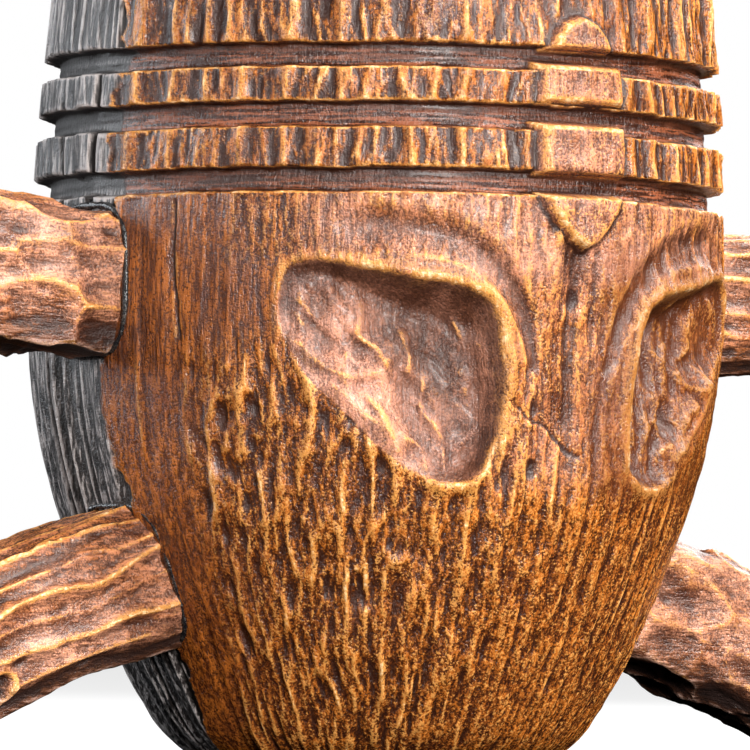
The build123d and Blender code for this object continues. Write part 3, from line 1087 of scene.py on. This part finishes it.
@dataclass
class Limb:
    """A gouged branch-like limb that grows out of the body's side.

    Attributes:
        node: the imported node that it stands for.
        style: how it is gouged.
        axis: distances from the mug's axis, and the limb's middle height there, in mm.
        half: half its height and half its depth at the root and at its end, in mm.
        seed: what its random numbers start from.
        side: the turned side that it grows out of.
        knots: sunken knots, each by its distance from the mug's axis and how far it is to the front
            and down, from -1 to 1.
        squareness: the power of its rounded section, which is 2 for an ellipse.
        sink: how far it starts under the body's side, in mm.
        first_guess: about how far the body's side is from the mug's axis at the root, in mm.
        rounds: how often the root is moved nearer to the body's side.
    """

    node: str
    style: LimbStyle
    axis: tuple[tuple[float, float], ...]
    half: tuple[tuple[float, float], tuple[float, float]]
    seed: int
    side: TurnedSide = field(default_factory=TurnedSide)
    knots: tuple[tuple[float, float, float], ...] = ()
    around_count: int = 200
    along_count: int = 150
    squareness: float = 3.6
    sink: float = 0.9
    first_guess: float = 42.0
    rounds: int = 6

    @property
    def sign(self) -> int:
        """Return -1 for the figure's right and 1 for its left."""
        return -1 if self.node.startswith("right") else 1

    def section(self) -> Field:
        """Return evenly spaced points round a rounded square of half size 1."""
        t = np.linspace(0, 2 * np.pi, 4001)
        power = 2 / self.squareness
        y = np.sign(np.cos(t)) * np.abs(np.cos(t)) ** power
        z = np.sign(np.sin(t)) * np.abs(np.sin(t)) ** power
        run = np.concatenate([[0], np.cumsum(np.hypot(np.diff(y), np.diff(z)))])
        even = np.linspace(0, run[-1], self.around_count + 1)[:-1]
        return np.stack([np.interp(even, run, y), np.interp(even, run, z)], -1)

    @property
    def end(self) -> float:
        """Return how far the free end is from the mug's axis, in mm."""
        return self.axis[-1][0]

    def level(self, x: Field) -> Field:
        """Return the height of the limb's middle at each distance from the mug's axis."""
        axis = through(self.axis, 20)
        return np.interp(x, axis[:, 0], axis[:, 1])

    def build(self) -> bpy.types.Object:
        """Build the limb as a closed skin that starts on the body's side."""
        end, unit = self.end, self.section()
        share = (np.linspace(0, 1, self.along_count) ** 0.95)[:, None]
        x = np.full((len(share), len(unit)), self.first_guess)
        for _ in range(self.rounds):
            level = self.level(x)
            grow = smoothstep(self.axis[0][0], end, x)
            tip = np.sqrt(np.clip(1 - np.clip((x - end + 3.0) / 3.0, 0, 1) ** 2 * 0.55, 0, 1))
            dz = unit[:, 1] * (self.half[0][0] * (1 - grow) + self.half[1][0] * grow) * tip
            y = unit[:, 0] * (self.half[0][1] * (1 - grow) + self.half[1][1] * grow) * tip
            start = np.sqrt(np.clip((self.side.radius(level + dz) - self.sink) ** 2 - y ** 2, 1, None))
            x = start + share * (end - start)
        relief, paint = self.gouge(x, unit)
        away = np.hypot(y, dz)
        y, z = y * (1 + relief / away), level + dz * (1 + relief / away)
        z = np.maximum(z, 0.0)
        points = np.stack([self.sign * x, y, z], -1)
        paint["ring"] = np.hypot(y, z - level)
        points, paint = self.sawn_end(points, paint)
        root = points[0].mean(0) - np.array([self.sign * 0.2, 0, 0])
        return Skin(points, (root, points[-1].mean(0)), paint).build("gouged_" + self.node)

    def sawn_end(self, points: Field, paint: dict[str, Field]) -> tuple[Field, dict[str, Field]]:
        """Close the free end with rings of its own, so that the end grain can be painted."""
        shares = np.array([0.93, 0.84, 0.72, 0.58, 0.44, 0.30, 0.16])[:, None]
        middle = points[-1].mean(0)
        cap = middle + shares[..., None] * (points[-1] - middle)
        saw = 0.12 * Tool(1.1, 60, self.seed + 6, 60).noise(cap[..., 2], cap[..., 1])
        cap[..., 0] += self.sign * (saw - 0.12)
        bare = {"ridge": 0.0, "shade_and_streaks": 0.12, "raised": 0.5, "gilding": 0.2, "inside": 0.2}
        for label, value in (bare | {"weathered_and_shade": 0.0, "end": 1.0}).items():
            paint[label] = np.vstack([paint[label], np.full(cap.shape[:2], value)])
        paint["ring"] = np.vstack([paint["ring"], shares * paint["ring"][-1:]])
        return np.vstack([points, cap]), paint

    def gouge(self, x: Field, unit: Field) -> tuple[Field, dict[str, Field]]:
        """Return the relief in mm, and the values to paint."""
        around = 4 * (self.half[0][0] + self.half[0][1]) * 0.93
        u = np.broadcast_to(np.arange(len(unit)) / len(unit) * around, x.shape)

        def tool(width: float, length: float, turn: int = 0) -> Tool:
            """Return a tool whose marks meet round the limb."""
            return Tool(width, length, self.seed + turn, around)

        wide, long, deep = self.style.value
        bent = u + 1.1 * tool(6, 12).rough(u, x)
        drift = x + 2.5 * tool(6, 9, 4).rough(u, x)
        marks = tool(wide, long, 1).facets(bent, drift, 0.95, 0.3) - 0.5
        nicks = tool(2.2, 3.4, 8).scoops(bent, x, 0.35)
        fine = tool(1.5, 7.0, 2).rough(bent, x) - 1.2 * nicks
        lumps = tool(9, 12, 3).noise(u, x)
        uneven = 0.70 + 0.6 * smoothstep(-0.5, 0.6, tool(5, 14, 9).rough(u, x))
        relief = deep * uneven * marks + 0.25 * fine + 0.40 * lumps - 0.15 * deep
        tip = smoothstep(self.end - 0.5, self.end - 3.0, x)
        relief = relief * (0.25 + 0.75 * tip)
        for place, front, down in self.knots:
            nearest = np.argmin(np.hypot(unit[:, 0] + front, unit[:, 1] + down)) / len(unit) * around
            gap = np.hypot((x - place) / 1.25, u - nearest)
            relief += 0.7 * np.exp(-(((gap - 2.3) / 0.6) ** 2)) - 2.4 * np.exp(-((gap / 1.5) ** 2))

        near = relief - blurred(relief, (1, 1))
        broad = relief - blurred(relief, (6, 7))
        # Painted shade on the underside: darker, with less gold and less bare wood, and given the weathered
        # grey.
        under = smoothstep(-0.55, -0.98, unit[:, 1])[None] * np.ones(x.shape)
        broken = smoothstep(-0.6, 0.4, tool(2.0, 4.6, 10).rough(u, x))
        # Gold on the crests: partly the rubbed gold, partly a painted highlight.
        ridge = np.clip(near * 7.5 + broad * 0.35 - 0.05, 0, 1.2) * (1 - 0.6 * under) * (0.6 + 0.4 * broken)
        shade_and_streaks = np.clip(-near * 2.5 - broad * 0.9 + 0.8 * under, 0, 1)
        patch = tool(14, 18, 5).rough(u, x)
        top = smoothstep(0.6, 0.98, unit[:, 1])[None] * np.ones(x.shape)
        paint = {
            "ridge": ridge,
            "shade_and_streaks": shade_and_streaks,
            "raised": np.clip(0.5 + broad * 0.9 + near * 3, 0, 1),
            "gilding": np.clip(0.35 + 0.4 * patch - 0.5 * under, 0, 1),
            "inside": np.clip(0.80 + 0.5 * patch - 0.9 * under - 0.3 * top, 0, 1),
            # The underside's weathered grey is painted shade.
            "weathered_and_shade": 0.55 * under,
            "end": smoothstep(self.end - 0.8, self.end - 0.1, x),
        }
        return relief, paint

    def seam(self, count: int) -> tuple[Field, Field]:
        """Return points round the seam on the body's side, and which way is out from the limb."""
        unit = self.section()
        turn, place = np.linspace(0, len(unit), count, endpoint=False), np.arange(len(unit) + 1)
        unit = np.stack([np.interp(turn, place, np.append(side, side[0])) for side in unit.T], -1)
        seat = 0.15
        dz, y = unit[:, 1] * (self.half[0][0] + seat), unit[:, 0] * (self.half[0][1] + seat)
        x = np.full(len(unit), self.first_guess)
        for _ in range(self.rounds):
            level = self.level(x)
            x = np.sqrt((self.side.radius(level + dz) - seat) ** 2 - y ** 2)
        out = np.stack([np.zeros(count), unit[:, 0], unit[:, 1]], -1)
        return np.stack([self.sign * x, y, level + dz], -1), out / np.linalg.norm(out, axis=1, keepdims=True)


@dataclass
class GlueBead:
    """The uneven bead of dark glue that squeezed out round a limb's root.

    Attributes:
        limb: the limb that it runs round.
        radius: how thick it is on average, in mm.
        lump: how long and wide its lumps are, in mm.
        run: about how long the bead is, in mm.
    """

    limb: Limb
    radius: float = 0.42
    lump: float = 2.4
    run: float = 60.0
    around_count: int = 360
    tube_count: int = 14

    def build(self) -> bpy.types.Object:
        """Build the bead as a closed tube that follows the seam."""
        middle, out = self.limb.seam(self.around_count)
        radial = middle * (1, 1, 0)
        radial /= np.linalg.norm(radial, axis=1, keepdims=True)
        run = np.linspace(0, self.run, self.around_count, endpoint=False)
        tool = Tool(self.lump, self.lump, self.limb.seed + 7, self.run)
        thick = (self.radius * (1 + 0.42 * tool.rough(run, run * 0)))[:, None, None]
        turns = np.linspace(0, 2 * np.pi, self.tube_count, endpoint=False)[None, :, None]
        ring = middle[:, None] + thick * (np.cos(turns) * out[:, None] + np.sin(turns) * radial[:, None])

        i, j = np.arange(self.around_count)[:, None] * self.tube_count, np.arange(self.tube_count)
        i1, j1 = np.roll(i, -1, axis=0), np.roll(j, -1)
        quads = spread(i + j, i + j1, i1 + j1, i1 + j).ravel()
        sizes = np.full(len(quads) // 4, 4)
        return Faces(ring.reshape(-1, 3), quads, sizes).build("glue_bead_" + self.limb.node)


# -------------------------------------------------------------------------------------- studio
def direction(azimuth: float, elevation: float) -> Vector:
    """Return the way from the mug to a place round it, in degrees from the face and up."""
    a, e = math.radians(azimuth), math.radians(elevation)
    return Vector((math.sin(a) * math.cos(e), -math.cos(a) * math.cos(e), math.sin(e)))


@dataclass(frozen=True)
class Lamp:
    """A square soft light, placed by its direction from the mug."""

    name: str
    azimuth: float
    elevation: float
    distance: float
    size: float
    power: float
    colour: Colour = (1.0, 1.0, 1.0)

    def build(self, aim: Vector) -> None:
        """Add the light, facing the aim."""
        data = bpy.data.lights.new(self.name, "AREA")
        data.shape, data.size, data.energy, data.color = "SQUARE", self.size, self.power, self.colour
        lamp = bpy.data.objects.new(self.name, data)
        lamp.visible_camera = False
        back = direction(self.azimuth, self.elevation)
        lamp.location = aim + back * self.distance
        lamp.rotation_euler = (-back).to_track_quat("-Z", "Y").to_euler()
        bpy.context.scene.collection.objects.link(lamp)


@dataclass
class Studio:
    """The pale floor, the soft lights and the camera, in metres and degrees.

    Attributes:
        azimuth: the way to the camera from the aim, from the face.
        elevation: how far up that way goes.
        roll: how far the camera is turned about that way.
        distance: how far the camera is from the aim.
        lens: its focal length in mm, on a film 36 mm wide.
        aim: the place that it looks at.
        floor_half: half the floor's width.
        lamps: the soft lights.
    """

    azimuth: float = -35.0
    elevation: float = -2.0
    roll: float = 0.8
    distance: float = 0.950
    lens: float = 350.6
    aim: Vector = field(default_factory=lambda: Vector((0, 0, 0.0525)))
    floor_half: float = 6.0
    lamps: tuple[Lamp, ...] = (
        Lamp("key_softbox", 34.0, 38.0, 0.9, 0.28, 15.0, (1.0, 0.96, 0.92)),
        Lamp("front_softbox", -14.0, 11.0, 1.1, 0.24, 20.5, (1.0, 0.97, 0.94)),
        Lamp("side_fill", -80.0, 8.0, 1.0, 0.50, 3.2, (1.0, 0.98, 0.96)),
        Lamp("rim_strip", -140.0, 16.0, 0.9, 0.40, 7.0, (0.88, 0.94, 1.0)),
        Lamp("back_fill", 125.0, 28.0, 1.0, 0.60, 6.0),
        Lamp("top_softbox", 180.0, 80.0, 1.0, 0.60, 4.0),
    )

    def build(self) -> None:
        """Build the floor, the world, the lights and the camera."""
        self.floor()
        self.world()
        for lamp in self.lamps:
            lamp.build(self.aim)
        self.camera()
        bpy.context.scene.view_settings.view_transform = "Standard"

    def camera(self) -> None:
        """Add the camera, looking at the aim."""
        data = bpy.data.cameras.new("camera")
        data.sensor_width, data.lens = 36.0, self.lens
        data.clip_start, data.clip_end = 0.01, 50.0
        camera = bpy.data.objects.new("camera", data)
        back = direction(self.azimuth, self.elevation)
        camera.location = self.aim + back * self.distance
        turn = Matrix.Rotation(math.radians(self.roll), 3, back)
        camera.rotation_euler = (turn @ (-back).to_track_quat("-Z", "Y").to_matrix()).to_euler()
        bpy.context.scene.collection.objects.link(camera)
        bpy.context.scene.camera = camera

    def floor(self) -> None:
        """Add the pale floor."""
        mesh = bpy.data.meshes.new("floor")
        half = self.floor_half
        corners = [(-half, -half, 0), (half, -half, 0), (half, half, 0), (-half, half, 0)]
        mesh.from_pydata(corners, [], [(0, 1, 2, 3)])
        floor = bpy.data.objects.new("floor", mesh)
        bpy.context.scene.collection.objects.link(floor)
        paints = Paints("pale_floor")
        glow = {"Emission_Color": (1.0, 1.0, 1.0), "Emission_Strength": 0.80}
        mesh.materials.append(paints.finish(Base_Color=(0.16, 0.16, 0.16), Roughness=1.0, **glow))
        floor.visible_diffuse = floor.visible_glossy = False

    def world(self) -> None:
        """Set a white backdrop that lights nothing."""
        world = bpy.data.worlds.new("studio_world")
        bpy.context.scene.world = world
        world.use_nodes = True
        world.node_tree.nodes["Background"].inputs["Color"].default_value = (1, 1, 1, 1)
        world.cycles_visibility.diffuse = world.cycles_visibility.glossy = False


# ---------------------------------------------------------------------------------------- main
def keep(piece: bpy.types.Object, material: bpy.types.Material, slot: str, *nodes: str) -> None:
    """Dress a piece, hide the imported parts that it stands for and let it ride on the mug."""
    piece.data.materials.append(material)
    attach(piece, ROOT)
    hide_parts(*nodes)
    LOG.info("%s: %d faces", piece.name, len(piece.data.polygons))


def limbs() -> list[Limb]:
    """Return the four limbs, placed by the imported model."""
    made = []
    leg_knot = (62.5, 0.95, 0.62)
    for node, style, seed in (
        ("right_arm", LimbStyle.SCALLOPED, 100),
        ("left_arm", LimbStyle.RIDGED, 140),
        ("right_leg", LimbStyle.RIDGED, 180),
        ("left_leg", LimbStyle.BARK, 220),
    ):
        low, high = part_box(node)
        reach = max(abs(low.x), abs(high.x)) / MM - 0.3
        if node.endswith("arm"):
            axis = ((30.0, 63.0), (45.0, 63.0), (62.0, 63.9), (reach, 65.8))
            half = ((9.4, 8.0), (9.3, 7.9))
        else:
            axis = ((24.0, 29.7), (37.6, 25.6), (50.0, 21.6), (63.0, 16.6), (reach - 6, 10.6), (reach, 8.6))
            half = ((9.8, 8.0), (10.4, 9.4))
        knots = (leg_knot,) if node == "right_leg" else ()
        made.append(Limb(node, style, axis, half, seed, knots=knots))
    return made


def main() -> None:
    """Build every piece, dress it, and set up the studio."""
    body_wood = StainedWood("stained_wood", Grain.UPRIGHT).make()
    # The limbs' bare wood is brighter still, for the painted sheen on them.
    limb_wood = StainedWood("limb_wood", Grain.ACROSS, rub=0.6, rose_with_sheen=(0.74, 0.36, 0.235)).make()
    glue, dowel = BlackGlue().make(), DowelWood().make()
    keep(MugBody().build(), body_wood, "stained_wood", "mug_body")
    for limb in limbs():
        keep(limb.build(), limb_wood, "limb_wood", limb.node)
        keep(GlueBead(limb).build(), glue, "black_glue", limb.node + "_glue_bed")
    for name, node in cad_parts.items():
        if name.endswith("_dowel"):
            for place in node.material_slots:
                place.material = dowel
            LOG.info("%s: dressed", name)
    Studio().build()


if __name__ == "__main__":
    logging.basicConfig(level=logging.INFO, format="%(message)s")
    main()
